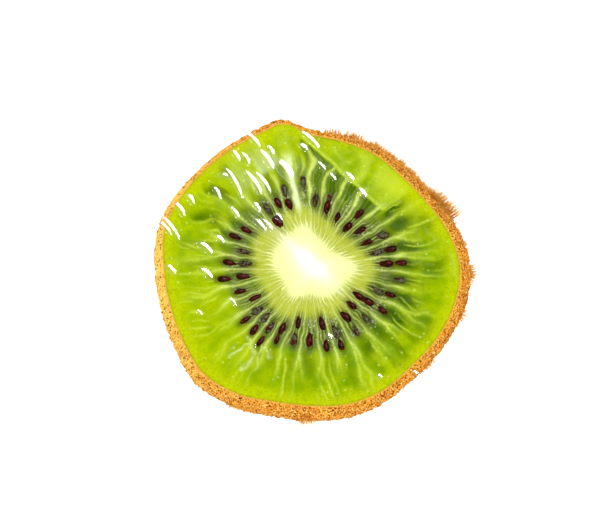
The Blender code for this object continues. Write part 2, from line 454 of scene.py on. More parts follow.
@dataclass(frozen=True)
class DrySkin:
    """Kiwifruit skin: thin, dry and matt, with darker corky bumps where hairs stood.

    By the cut it is a golden tan, which is painted light, and below it is brown.
    """

    tan: str = "EA9A24"
    brown: str = "C66A10"
    # Pale golden specks on the skin's scales, which are painted highlights.
    pale: str = "FFD070"
    bump_dark: str = "5A1C00"
    # Painted light: the yellow of the skin's lit left side.
    painted_light: str = "FCCE58"
    ripe: str = "8C5A26"
    ripe_dark: str = "5E3714"
    cut: str = "E6B044"
    cork: str = "6B4A2C"
    cork_pale: str = "A98456"
    # Sizes and detail. The bumps stand about 0.5 mm apart, and the fine scales between them,
    # 0.1 mm across on a real skin, are drawn at 0.3 mm, about two pixels of the render.
    noises: tuple[tuple[str, float, float], ...] = (
        ("blotch", 3.0 * MM, 4.0), ("patchy", 1.1 * MM, 2.0), ("fine", 0.3 * MM, 3.0),
    )
    bump_pitch: float = 0.5 * MM
    bump_depth: float = 0.07 * MM
    stretch: float = 0.45
    masks: tuple[str, ...] = ("painted_light", "ripe", "cut", "cork")
    sink_depth: float = 0.6 * MM

    def build(self) -> bpy.types.Material:
        """Mix the skin's tans, its bumps, its pale cut rim and its corky scar.

        Returns:
            The material.
        """
        paint = Paint("dry_fuzzy_skin")
        place = paint.add("ShaderNodeTexCoord", {}, {}, "Object")
        tall = {"Vector": place, "Scale": (1.0, 1.0, self.stretch)}
        place = paint.add("ShaderNodeMapping", {}, tall)
        mask = {
            name: paint.add("ShaderNodeAttribute", {"attribute_name": name}, {}, "Fac")
            for name in self.masks
        }
        texture = {
            name: paint.add(
                "ShaderNodeTexNoise", {}, {"Vector": place, "Scale": 1.0 / size, "Detail": detail}
            )
            for name, size, detail in self.noises
        }
        links = {"Vector": place, "Scale": 1.0 / self.bump_pitch, "Randomness": 1.0}
        texture["bumps"] = paint.add("ShaderNodeTexVoronoi", {"feature": "F1"}, links, "Distance")
        share = {}
        for name, source, low, high in (
            ("blotch", "blotch", 0.32, 0.7), ("patchy", "patchy", 0.38, 0.52),
            ("bumps", "bumps", 0.42, 0.28), ("pale", "fine", 0.46, 0.38), ("dark", "fine", 0.58, 0.64),
            ("corky", "fine", 0.3, 0.7), ("rise", "bumps", 0.5, 0.0),
        ):
            links = {"Value": texture[source], "From Min": low, "From Max": high}
            share[name] = paint.add("ShaderNodeMapRange", {"clamp": True}, links)
        bumps = paint.add("ShaderNodeMath", TIMES, {0: share["bumps"], 1: share["patchy"]})
        ripeness = paint.add("ShaderNodeMath", TIMES, {0: mask["ripe"], 1: 0.8})
        ripe, cork = (
            paint.add("ShaderNodeMix", BLEND, {0: share[name], 6: srgb(one), 7: srgb(other)}, 2)
            for name, one, other in (
                ("blotch", self.ripe, self.ripe_dark), ("corky", self.cork, self.cork_pale)
            )
        )
        # The pale specks laid in here are painted highlights; the yellow of the left side is painted
        # light.
        colour = srgb(self.tan)
        for amount, over in (
            (share["blotch"], srgb(self.brown)), (mask["painted_light"], srgb(self.painted_light)),
            (bumps, srgb(self.bump_dark)), (share["pale"], srgb(self.pale)),
            (share["dark"], srgb(self.bump_dark)), (ripeness, ripe), (mask["cut"], srgb(self.cut)),
            (mask["cork"], cork),
        ):
            colour = paint.add("ShaderNodeMix", BLEND, {0: amount, 6: colour, 7: over}, 2)
        scales = paint.add("ShaderNodeMath", TIMES, {0: texture["fine"], 1: 0.6})
        height = paint.add("ShaderNodeMath", PLUS, {0: share["rise"], 1: scales})
        relief = {"Height": height, "Distance": self.bump_depth, "Strength": 0.6}
        shader = {
            "Base Color": colour, "Roughness": 0.85, "IOR": 1.4, "Specular IOR Level": 0.05,
            "Subsurface Weight": 0.1, "Subsurface Radius": (1.0, 0.5, 0.2),
            "Subsurface Scale": self.sink_depth, "Normal": paint.add("ShaderNodeBump", {}, relief),
        }
        surface = paint.add("ShaderNodeBsdfPrincipled", {}, shader)
        paint.add("ShaderNodeOutputMaterial", {}, {"Surface": surface})
        return paint.material


@dataclass(frozen=True)
class StiffHair:
    """The skin's short stiff hairs: dry and matt, golden by the cut, which is painted light, and dull
    brown lower down.
    """

    root: str = "DA8C1E"
    tip: str = "F4C050"
    low_root: str = "80582A"
    low_tip: str = "BC9660"

    def build(self) -> bpy.types.Material:
        """Grade the hair from root to tip, and down the side.

        Returns:
            The material.
        """
        paint = Paint("stiff_tan_hair")
        tip, low = (
            paint.add("ShaderNodeAttribute", {"attribute_name": name}, {}, "Fac")
            for name in ("tip", "low")
        )
        golden, dull = (
            paint.add("ShaderNodeMix", BLEND, {0: tip, 6: srgb(root), 7: srgb(end)}, 2)
            for root, end in ((self.root, self.tip), (self.low_root, self.low_tip))
        )
        colour = paint.add("ShaderNodeMix", BLEND, {0: low, 6: golden, 7: dull}, 2)
        shader = {"Base Color": colour, "Roughness": 0.7, "IOR": 1.5, "Specular IOR Level": 0.1}
        surface = paint.add("ShaderNodeBsdfPrincipled", {}, shader)
        paint.add("ShaderNodeOutputMaterial", {}, {"Surface": surface})
        return paint.material


@dataclass(frozen=True)
class ClearJuice:
    """Clear juice standing in beads on the cut: see-through, with a mirror-bright glint.

    The gleam is the share of light that a bead mirrors; the rest goes through it.
    """

    tint: str = "FFFFFF"
    gleam: float = 0.045

    def build(self) -> bpy.types.Material:
        """Let most light through, and mirror a little of it.

        Returns:
            The material.
        """
        paint = Paint("clear_juice")
        shader = {
            "Base Color": srgb(self.tint), "Metallic": 1.0, "Roughness": 0.04, "IOR": 1.34,
            "Alpha": self.gleam,
        }
        surface = paint.add("ShaderNodeBsdfPrincipled", {}, shader)
        paint.add("ShaderNodeOutputMaterial", {}, {"Surface": surface})
        return paint.material


@dataclass(frozen=True)
class PaleCard:
    """The floor: smooth white card, lit until it is almost without shadow."""

    white: str = "F4F4F2"
    grey: str = "E4E4E0"
    light: str = "FFFFFF"
    glow: float = 0.75
    fleck: float = 0.8 * MM

    def build(self) -> bpy.types.Material:
        """Give the card its white and a glow like that of a light table.

        Returns:
            The material.
        """
        paint = Paint("pale_card")
        place = paint.add("ShaderNodeTexCoord", {}, {}, "Object")
        links = {"Vector": place, "Scale": 1.0 / self.fleck, "Detail": 2.0}
        flecks = paint.add("ShaderNodeTexNoise", {}, links)
        amount = paint.add("ShaderNodeMath", TIMES, {0: flecks, 1: 0.04})
        whites = {0: amount, 6: srgb(self.white), 7: srgb(self.grey)}
        colour = paint.add("ShaderNodeMix", BLEND, whites, 2)
        shader = {
            "Base Color": colour, "Roughness": 0.7, "Emission Color": srgb(self.light),
            "Emission Strength": self.glow,
        }
        surface = paint.add("ShaderNodeBsdfPrincipled", {}, shader)
        paint.add("ShaderNodeOutputMaterial", {}, {"Surface": surface})
        return paint.material


@dataclass(frozen=True)
class FruitForm:
    """The half's outer form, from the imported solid's driving sizes.

    Only the belly differs, where it is 0.2 to 0.3 mm slimmer on one side. Chambers are given by
    their directions in degrees and by the rows that hold a seed.
    """

    cut: float = 38.0 * MM
    widest: float = 29.0 * MM
    dome: float = 30.7 * MM
    skin: float = 0.5 * MM
    step: float = 0.2 * MM
    fullness: float = 0.87
    corner_towards: float = 100.0
    corner_spread: float = 7.0
    corner_rise: float = 1.1 * MM
    corner_depth: float = 9.0 * MM
    core_rise: float = 0.45 * MM
    flesh_mm: tuple[float, ...] = (
        24.8, 23.6, 22.1, 21.5, 21.7, 21.7, 22.1, 23.7, 23.8, 23.9, 24.5, 25.1,
        24.4, 24.2, 24.5, 25.1, 24.4, 23.2, 23.1, 23.6, 23.7, 23.4, 24.0, 24.6,
    )
    belly_mm: tuple[float, ...] = (0.5, 0.8, 0.6, 0.1, -0.3, -0.4, -0.2, -0.2, -0.2, 0.1, -0.2, 0.0)
    core_mm: tuple[float, ...] = (
        8.1, 6.0, 4.8, 5.1, 5.9, 7.6, 7.0, 7.0, 7.3, 6.8, 5.8, 5.9, 6.4, 5.3, 5.4, 6.3, 6.4, 6.9,
    )
    chambers: tuple[tuple[int, tuple[float, ...]], ...] = (
        (3, (3.2, 5.7)), (13, (2.0, 4.4)), (24, (1.0, 3.8)), (37, (1.0,)), (48, (-0.2, 2.8)),
        (62, (0.0,)), (75, (1.0, 2.8)), (86, (2.0,)), (95, (5.0,)), (109, (1.8, 4.2)), (117, (2.8,)),
        (126, (0.0, 2.7)), (139, ()), (150, (3.2,)), (158, (4.3,)), (167, (2.2,)), (177, (1.6, 4.4)),
        (188, (2.1, 5.2)), (199, (3.2,)), (209, (1.2,)), (219, (2.1, 4.8)), (228, (2.0, 4.9)),
        (236, (2.9, 5.6)), (245, (2.0, 4.0)), (257, (0.1, 3.1)), (269, (2.9,)), (281, (0.2, 4.1)),
        (291, (2.2, 4.6)), (305, (0.8, 3.6)), (317, (-0.1, 3.2)), (329, (-0.1, 1.8, 4.5)),
        (341, (2.6, 4.6)), (352, (5.7,)),
    )
    stem_mm: tuple[tuple[float, float], ...] = ((6.5, 0.6), (5.5, 1.2), (4.9, 0.4), (4.6, 0.0))
    stem_tilt: float = math.radians(-75.0)

    @property
    def flat(self) -> float:
        """Height of the flesh on the cut."""
        return self.cut - self.step

    @property
    def cut_tilt(self) -> float:
        """Angle of the cut above the widest section."""
        return math.asin((self.cut - self.widest) / self.dome)

    def flesh_radius(self, angle: Array, depth: Array | float = 0.0) -> Array:
        """Give the flesh's edge: a smooth closed curve, and a corner that fades below the cut.

        Args:
            angle: Directions in radians.
            depth: How far below the cut.

        Returns:
            Distances from the axis.
        """
        corner = near(angle, self.corner_towards, self.corner_spread) * bell(depth, self.corner_depth)
        return around(self.flesh_mm, angle) * MM + self.corner_rise * corner

    def core_radius(self, angle: Array) -> Array:
        """Give the core's edge as distances from the axis."""
        return around(self.core_mm, angle) * MM

    def side(self, angle: Array, tilt: Array) -> Array:
        """Give points of the skin: an ellipse above the widest section, a fuller one below.

        The share of the full width is cos(tilt), or cos(tilt)^fullness below, and the height
        follows sin(tilt) the same way. Lumps fade towards the round stem end, and the belly
        fades as a parabola from the widest section to the cut and to the ground.

        Args:
            angle: Directions in radians.
            tilt: Angles above the widest section, in radians.

        Returns:
            Points, one for each pair of angle and tilt.
        """
        angle, tilt = np.broadcast_arrays(angle, tilt)
        above = tilt > 0.0
        down = np.clip(np.sin(-tilt), 0.0, 1.0)
        share = np.where(above, np.cos(tilt), np.cos(tilt) ** self.fullness)
        height = np.where(
            above, self.widest + self.dome * np.sin(tilt), self.widest * (1.0 - down ** self.fullness)
        )
        mean = sum(self.flesh_mm) / len(self.flesh_mm) * MM
        ratio = math.cos(self.cut_tilt)
        lump = (self.flesh_radius(angle, self.cut - height) - mean) * np.minimum(1.0, share / ratio)
        span = np.where(above, self.cut - self.widest, self.widest)
        belly = around(self.belly_mm, angle) * MM * (1.0 - ((height - self.widest) / span) ** 2)
        return polar(angle, (mean + self.skin + lump) * share / ratio + belly, height)

    def walls(self) -> Array:
        """Give the directions of the chamber walls, each midway between two chambers."""
        centres = np.radians([degrees for degrees, _ in self.chambers])
        before = np.roll(centres, 1)
        before[0] -= TURN
        return (centres + before) / 2.0


def polar(angle: Array, radius: Array, height: Array | float) -> Array:
    """Give points from directions, distances from the axis, and heights."""
    return np.stack(
        np.broadcast_arrays(radius * np.cos(angle), radius * np.sin(angle), height), axis=-1
    )


@dataclass
class CutFlesh:
    """The cut face with its core, chambers and veins, over a bowl that lies inside the skin.

    Its patterns are drawn by direction in degrees and by distance from the axis in
    millimetres, so the numbers in its methods are those of the fruit in the photograph.
    """

    form: FruitForm
    columns: int = 600
    core_rings: int = 16
    flesh_rings: int = 106
    bowl_rings: int = 14
    bowl_inset: float = 0.9 * MM
    wall_rise: float = 0.16 * MM
    floor_fall: float = 0.18 * MM
    pocket_fall: float = 0.12 * MM
    core_step: float = 0.12 * MM
    juice_towards: float = 66.0
    shore_towards: float = 48.0
    bold_wall_at: float = 102.0
    seedless_at: float = 139.0
    strokes_mm: tuple[tuple[float, float, float, float, float], ...] = (
        (-10.6, -11.6, -9.4, -14.6, 0.32), (-9.4, -14.6, -11.4, -17.2, 0.24),
        (-10.4, -12.8, -13.7, -14.9, 0.22), (-7.6, -13.2, -6.6, -15.4, 0.24),
        (-8.2, -13.3, -9.2, -17.0, 0.14),
    )
    seed: int = 11

    def strokes(self, angle: Array, r: Array) -> Array:
        """Draw the pale strokes that the knife dragged over the cut, each a wavy bell on a line.

        Args:
            angle: Directions in radians.
            r: Distances from the axis in millimetres.

        Returns:
            How strongly the strokes show.
        """
        x = r * np.cos(angle) + 0.38 * turn_noise(angle, r, 120, 0.9, self.seed + 19)
        y = r * np.sin(angle) + 0.38 * turn_noise(angle, r, 120, 0.9, self.seed + 20)
        drawn = np.zeros_like(r)
        for x0, y0, x1, y1, width in self.strokes_mm:
            along, up = x1 - x0, y1 - y0
            share = ((x - x0) * along + (y - y0) * up) / (along ** 2 + up ** 2)
            share = np.clip(share, 0.0, 1.0)
            away = np.hypot(x - x0 - share * along, y - y0 - share * up)
            drawn = np.maximum(drawn, bell(away, width))
        return drawn * (0.85 + 0.4 * turn_noise(angle, r, 170, 0.6, self.seed + 21))

    def stray(self, angle: Array, r: Array) -> Array:
        """Work out how far walls and veins stray sideways, which grows outside the seeds.

        It is noise in small and in large waves, and in one part a bold wave along the radius,
        as seen through standing juice.

        Args:
            angle: Directions in radians.
            r: Distances from the axis in millimetres.

        Returns:
            Sideways shifts as angles.
        """
        outside = np.clip(r - 12.0, 0.0, 8.0)
        small = 0.20 * turn_noise(angle, r, 110, 1.2, self.seed + 8)
        large = (0.12 + 0.09 * outside) * turn_noise(angle, r, 26, 3.6, self.seed + 9)
        lens = near(angle, 79.0, 12.0) * 0.24 * outside * np.cos(TURN * (r - 14.2) / 7.0)
        return (small + large + lens) / np.maximum(r, 1.0)

    def wall_lines(self, turned: Array, r: Array, bold: Array) -> tuple[Array, Array]:
        """Draw the chamber walls and the veins that carry them on to the skin.

        Each is a sharp bell on a broad faint one across its chamber's edge. Outside the chambers
        it may fork, and some widen into soft plumes.

        Args:
            turned: Directions in radians, from the first wall on.
            r: Distances from the axis in millimetres.
            bold: By how much the lines are wider.

        Returns:
            How strongly the lines show, and the place in the chamber from 0 to 1.
        """
        draw = np.random.default_rng(self.seed)
        walls = self.form.walls()
        count = len(walls)
        chamber = np.clip(np.searchsorted(walls, turned, side="right") - 1, 0, count - 1)
        wide = np.append(walls[1:], walls[0] + TURN) - walls
        phase = (turned - walls[chamber]) / wide[chamber]
        power, reach = draw.uniform(0.65, 1.0, count), draw.uniform(20.0, 24.5, count)
        fork, fork_from = draw.uniform(-0.10, 0.24, count), draw.uniform(13.5, 17.0, count)
        soft = ramp(draw.uniform(0.0, 1.0, count), 0.4, 0.9)
        waver = turn_noise(turned, r, 132, 1.5, self.seed + 10)
        width = (0.13 + 0.014 * np.clip(r - 12.0, 0.0, 8.0)) * bold
        lines = np.zeros_like(r)
        for side in (0, 1):
            k = (chamber + side) % count
            line = walls[chamber] + wide[chamber] * side
            fade = ramp(r, reach[k], reach[k] - 4.5) * (0.75 + 0.25 * waver)
            plume = soft[k] * ramp(r, 14.0, 18.0)
            for branch in (-1.0, 1.0):
                split = branch * np.maximum(fork[k], 0.0) * np.clip(r - fork_from[k], 0.0, None)
                away = (turned - line) * r - split
                trace = (0.85 - 0.5 * plume) * bell(away, width)
                trace = trace + (0.25 + 0.3 * plume) * bell(away, (3.2 + 1.6 * plume) * width)
                lines = np.maximum(lines, power[k] * fade * trace)
        return lines, phase

    def stripes(self, angle: Array, r: Array, phase: Array) -> tuple[Array, Array]:
        """Draw narrow waves, two and four to a chamber, that bow a little.

        Args:
            angle: Directions in radians.
            r: Distances from the axis in millimetres.
            phase: The place in the chamber from 0 to 1.

        Returns:
            Both waves together, and the finer one alone.
        """
        bow = 0.16 * turn_noise(angle, r, 66, 1.4, self.seed + 2)
        wide = 0.5 + 0.5 * np.cos(TURN * (2.0 * phase + bow))
        fine = 0.5 + 0.5 * np.cos(TURN * (4.0 * phase + 2.0 * bow))
        return np.maximum(wide ** 2, 0.6 * fine ** 2), fine

    def shades(self, angle: Array, r: Array, phase: Array, streak: Array) -> Array:
        """Draw the dark patches outside the seeds and the dark streaks beyond them.

        The patches are deepest midway between walls, which is the flesh's own darker tone. Both are made
        stronger on the right and in a few other directions and weaker at the lower left, which paints
        shade by direction.

        Args:
            angle: Directions in radians.
            r: Distances from the axis in millimetres.
            phase: The place in the chamber from 0 to 1.
            streak: A stretched noise that says where streaks may lie.

        Returns:
            How dark the flesh is.
        """
        between = ramp(np.abs(phase - 0.5), 0.5, 0.15)
        patch = 0.5 + 0.5 * turn_noise(angle, r, 34, 3.4, self.seed + 6)
        # Painted shade by direction: the patches and streaks are darker on the right and towards 152
        # degrees, lighter towards 222 degrees.
        turn = 0.85 + 0.42 * np.cos(angle - math.radians(355.0)) - 0.35 * near(angle, 222.0, 40.0)
        turn = turn + 0.9 * near(angle, 152.0, 24.0) + 0.7 * near(angle, 6.0, 30.0)
        shade = 0.85 * bell(r - 15.6, 3.4) * (0.35 + 0.65 * between) * (0.15 + 1.1 * patch) * turn
        far = ramp(r, 15.0, 18.0) * ramp(r, 23.8, 20.8)
        far = far * (0.45 + 0.35 * near(angle, 152.0, 30.0) - 0.4 * near(angle, 222.0, 38.0))
        far = far * (1.0 + 0.4 * near(angle, -8.0, 30.0))
        return np.maximum(shade, ramp(streak, 0.0, 0.7) * far)

    def lights(self, angle: Array, r: Array) -> Array:
        """Give the painted light: brighter, yellower flesh in three broad patches outside the seeds."""
        painted_light = 0.35 * ramp(r, 12.5, 16.5) * near(angle, 208.0, 45.0)
        painted_light = np.maximum(painted_light, 0.4 * ramp(r, 13.5, 16.0) * near(angle, 114.0, 40.0))
        return np.maximum(painted_light, ramp(r, 16.5, 20.5) * near(angle, 38.0, 15.0))

    def core_whiteness_and_highlight(self, angle: Array, r: Array, core: Array) -> Array:
        """Give the whiter middle of the core, a broad round bell, and a painted highlight across it, a
        long slanting bell.
        """
        x, y = r * np.cos(angle), r * np.sin(angle)
        along, across = (x + 0.6) * 0.745 - (y - 1.1) * 0.667, (x + 0.6) * 0.667 + (y - 1.1) * 0.745
        return 0.8 * bell(across, 1.1) * bell(along, 5.2) + 0.7 * bell(r / core, 0.42)

    def pattern(self, angle: Array, radius: Array) -> dict[str, Array]:
        """Work out where walls, veins, fibres, chamber floors and the core lie.

        Fibres are narrow waves round the core's edge, and thin threads of them go on between
        the seeds. Outside the chambers finer veins run, three to a chamber, where a stretched
        noise lets them. One part looks drowned in juice, out to a straight shore: there the
        chambers end in dark striped panes between bold pale walls, with a calm pale band
        outside them.

        Args:
            angle: Directions in radians.
            radius: Distances from the axis in metres.

        Returns:
            Masks between 0 and 1 by name.
        """
        form = self.form
        r = radius / MM
        core = form.core_radius(angle) / MM
        edge = form.flesh_radius(angle) / MM
        first = form.walls()[0]
        strayed = angle - self.stray(angle, r)
        turned = np.mod(strayed - first, TURN) + first
        streak = turn_noise(strayed, r, 104, 5.0, self.seed + 15)

        # The drowned part, its shore, and the walls, wider there and at the one bold wall.
        aside = np.abs(turn_from(strayed, self.juice_towards))
        drowned = ramp(aside, math.radians(29.0), math.radians(25.0))
        shore = 15.0 / np.maximum(np.cos(angle - math.radians(self.shore_towards)), 0.5)
        shore = shore + 0.22 * turn_noise(angle, r, 60, 9.0, self.seed + 18)
        pane = drowned * ramp(r, 12.0, 12.8) * ramp(r, shore + 0.2, shore - 0.2)
        bold = 1.0 + 0.6 * drowned * ramp(r, 11.0, 13.0) * ramp(r, shore + 2.0, shore)
        bold = bold + 2.6 * near(strayed, self.bold_wall_at, 5.0) * ramp(r, 8.0, 11.0)
        lines, phase = self.wall_lines(turned, r, bold)
        lines = np.minimum(lines * (1.0 + 0.6 * near(strayed, self.bold_wall_at, 5.0)), 1.0)

        # Walls, fibres and threads, which are pale.
        stripe, fine_stripe = self.stripes(angle, r, phase)
        length = 2.5 + 1.5 * turn_noise(angle, r, 66, 40.0, self.seed + 1)
        uneven = 0.75 + 0.35 * turn_noise(angle, r, 50, 3.0, self.seed + 16)
        fibre = stripe * uneven * ramp(r, core + length, core + 0.6)
        wisp = 0.5 + 0.5 * turn_noise(angle, r, 150, 2.2, self.seed + 7)
        thread = 0.75 * fine_stripe ** 3 * wisp * ramp(r, 14.5, 12.0)
        wall = np.maximum(lines * ramp(r, 17.5, 14.0), thread) * ramp(r, core - 0.5, core + 0.6)
        wall = np.maximum(wall, 0.9 * fibre * ramp(r, core - 1.2, core + 0.2))
        wall = np.maximum(wall, 0.8 * lines * drowned * ramp(r, shore + 0.4, shore - 0.4))
        wall = np.maximum(wall, self.strokes(angle, r))
        pale = 0.9 * lines ** 2 * near(strayed, self.bold_wall_at, 4.0) * ramp(r, 9.0, 11.5)
        pale = pale * ramp(r, 21.0, 18.0)
        cloud = ramp(turn_noise(angle, r, 56, 3.2, self.seed + 17), -0.1, 0.6)
        haze = 0.32 * cloud * near(angle, 114.0, 17.0) * bell(r - 18.0, 3.0)

        # Chamber floors, and the flesh between the fibres.
        gap = ramp(r, core - 0.8, core + 0.4) * ramp(r, core + 4.2, core + 1.8)
        chamber = ramp(r, core + 1.2, core + 3.6) * ramp(r, 14.9, 12.8)
        empty = near(strayed, self.seedless_at, 6.0) * bell(r - 13.8, 1.3)
        chamber = np.maximum(chamber, 0.85 * empty)
        low = 0.5 - 0.5 * np.sin(angle)
        frost = np.maximum(chamber, low * bell(r - 14.0, 1.2)) * ramp(r, core + 1.2, core + 2.5)
        frost = frost * ramp(turn_noise(angle, r, 44, 1.9, self.seed + 13), -0.1, 0.5)

        # Dark flesh and veins outside the chambers.
        glaze = (1.0 + 0.25 * np.cos(TURN * 5.0 * phase)) * ramp(np.abs(phase - 0.5), 0.48, 0.4)
        shade = np.maximum(self.shades(angle, r, phase, streak) * (1.0 - drowned), pane * glaze)
        drift = 0.8 * turn_noise(angle, r, 26, 5.0, self.seed + 3)
        crest = np.cos(TURN * (3.0 * phase + drift))
        some = ramp(turn_noise(angle, r, 116, 4.2, self.seed + 12), -0.1, 0.7)
        some = some * (0.75 - 0.3 * near(angle, -15.0, 28.0))
        fine_vein = some * ramp(crest, 0.25, 1.0) * ramp(r, 14.5, 17.0) * ramp(r, 24.0, 20.8)
        vein = np.maximum(lines * ramp(r, 13.0, 15.5), fine_vein)
        glow = (0.4 - 0.5 * streak) * ramp(r, shore - 0.1, shore + 0.6) * ramp(r, 22.5, 19.0)
        rim = drowned * np.maximum(0.9 * bell(r - shore - 0.4, 0.25), glow)
        calm = 1.0 - 0.8 * drowned * ramp(r, shore, shore + 0.6)
        vein = np.maximum(vein * calm * (1.0 - pane) + pane * lines, rim)

        ray = 1.2 * stripe - 0.5
        return {
            "wall": np.clip(wall, 0.0, 1.0),
            "pale": np.clip(np.maximum(pale, haze), 0.0, 1.0),
            "vein": np.clip(vein, 0.0, 1.0),
            "chamber": np.clip(chamber * (1.0 - wall) * (1.0 - pane), 0.0, 1.0) * 0.9,
            "gap": np.clip(gap, 0.0, 1.0) * 0.95,
            "shade": np.clip(shade * (1.0 - vein), 0.0, 1.0),
            "core": ramp(r, core + ray + 0.7, core + ray - 1.2),
            "middle": np.clip(self.core_whiteness_and_highlight(angle, r, core), 0.0, 1.0),
            "edge": 0.8 * ramp(r, edge - 3.2, edge - 0.4) * (1.0 - 0.7 * drowned),
            # Painted light by direction on the flesh.
            "painted_light": np.clip(self.lights(angle, r), 0.0, 1.0),
            "speckled": ramp(r, 14.5, 16.5),
            "frost": 0.8 * frost,
        }

    def heights(self, angle: Array, radius: Array, masks: dict[str, Array]) -> Array:
        """Work out the relief of the cut: walls up, floors down, the core a low dome.

        Args:
            angle: Directions in radians.
            radius: Distances from the axis in metres.
            masks: The pattern's masks there.

        Returns:
            Heights above the ground.
        """
        form = self.form
        dome = np.clip(1.0 - (radius / form.core_radius(angle)) ** 2, 0.0, 1.0)
        ripple = turn_noise(angle, radius, 180, 0.8 * MM, self.seed + 4)
        swell = turn_noise(angle, radius, 24, 4.0 * MM, self.seed + 5)
        inside = ramp(radius, form.flesh_radius(angle), form.flesh_radius(angle) - 1.5 * MM)
        lines = np.maximum(masks["wall"], 0.4 * masks["vein"])
        relief = self.wall_rise * lines - self.floor_fall * masks["chamber"]
        relief = relief + (0.03 * ripple + 0.08 * swell) * MM
        return form.flat + form.core_rise * dome + self.core_step * masks["core"] + relief * inside

    def build(self, finish: WetFlesh, seeds: "Seeds") -> bpy.types.Object:
        """Make the flesh: bowl rings up inside the skin, then the cut's rings in to the axis.

        Args:
            finish: The flesh's finish.
            seeds: The seeds, which lie in pockets of the cut.

        Returns:
            The flesh.
        """
        form = self.form
        angle = np.arange(self.columns) / self.columns * TURN
        tilt = np.linspace(form.stem_tilt, form.cut_tilt, self.bowl_rings)[:, None]
        bowl = form.side(angle[None, :], tilt)
        inset = 1.0 - self.bowl_inset / np.hypot(bowl[..., 0], bowl[..., 1])
        bowl[..., :2] *= inset[..., None]
        bowl[..., 2] = np.minimum(bowl[..., 2] + self.bowl_inset, form.flat - 0.6 * MM)
        share = (np.linspace(1.0, 0.0, self.flesh_rings) ** 1.15)[:, None]
        core = form.core_radius(angle)
        edge = form.flesh_radius(angle) + 0.1 * MM
        radius = core + share * (edge - core)
        within = np.linspace(1.0, 0.0, self.core_rings + 1)[1:-1, None]
        radius = np.concatenate((radius, core * within))
        turned = np.broadcast_to(angle, radius.shape)
        masks = self.pattern(turned, radius)
        pocket, halo = seeds.pockets(polar(turned, radius, form.flat))
        mottle = 0.75 + 0.25 * turn_noise(turned, radius, 150, 0.7 * MM, self.seed + 14)
        # Darker round each seed, and painted shade on the chambers of the right side.
        halo_and_painted_shade = halo * mottle + 0.35 * masks["chamber"] * near(turned, 5.0, 40.0)
        masks["pit"] = np.clip(halo_and_painted_shade * (1.0 - 0.85 * masks["wall"]), 0.0, 1.0) * 0.8
        height = self.heights(turned, radius, masks) - self.pocket_fall * pocket
        rings = np.concatenate((bowl, polar(turned, radius, height)))
        bottom = np.array([[0.0, 0.0, bowl[0, 0, 2]]])
        middle = np.array([[0.0, 0.0, form.flat + form.core_rise + self.core_step]])
        surface = closed_surface(rings[None], bottom, middle)
        lower = np.zeros(bowl.shape[:2])
        for name, mask in masks.items():
            at_axis = float(name in ("core", "middle"))
            surface.masks[name] = ring_mask(np.concatenate((lower, mask)), 0.0, at_axis)
        return add_piece("flesh", surface, finish.build())


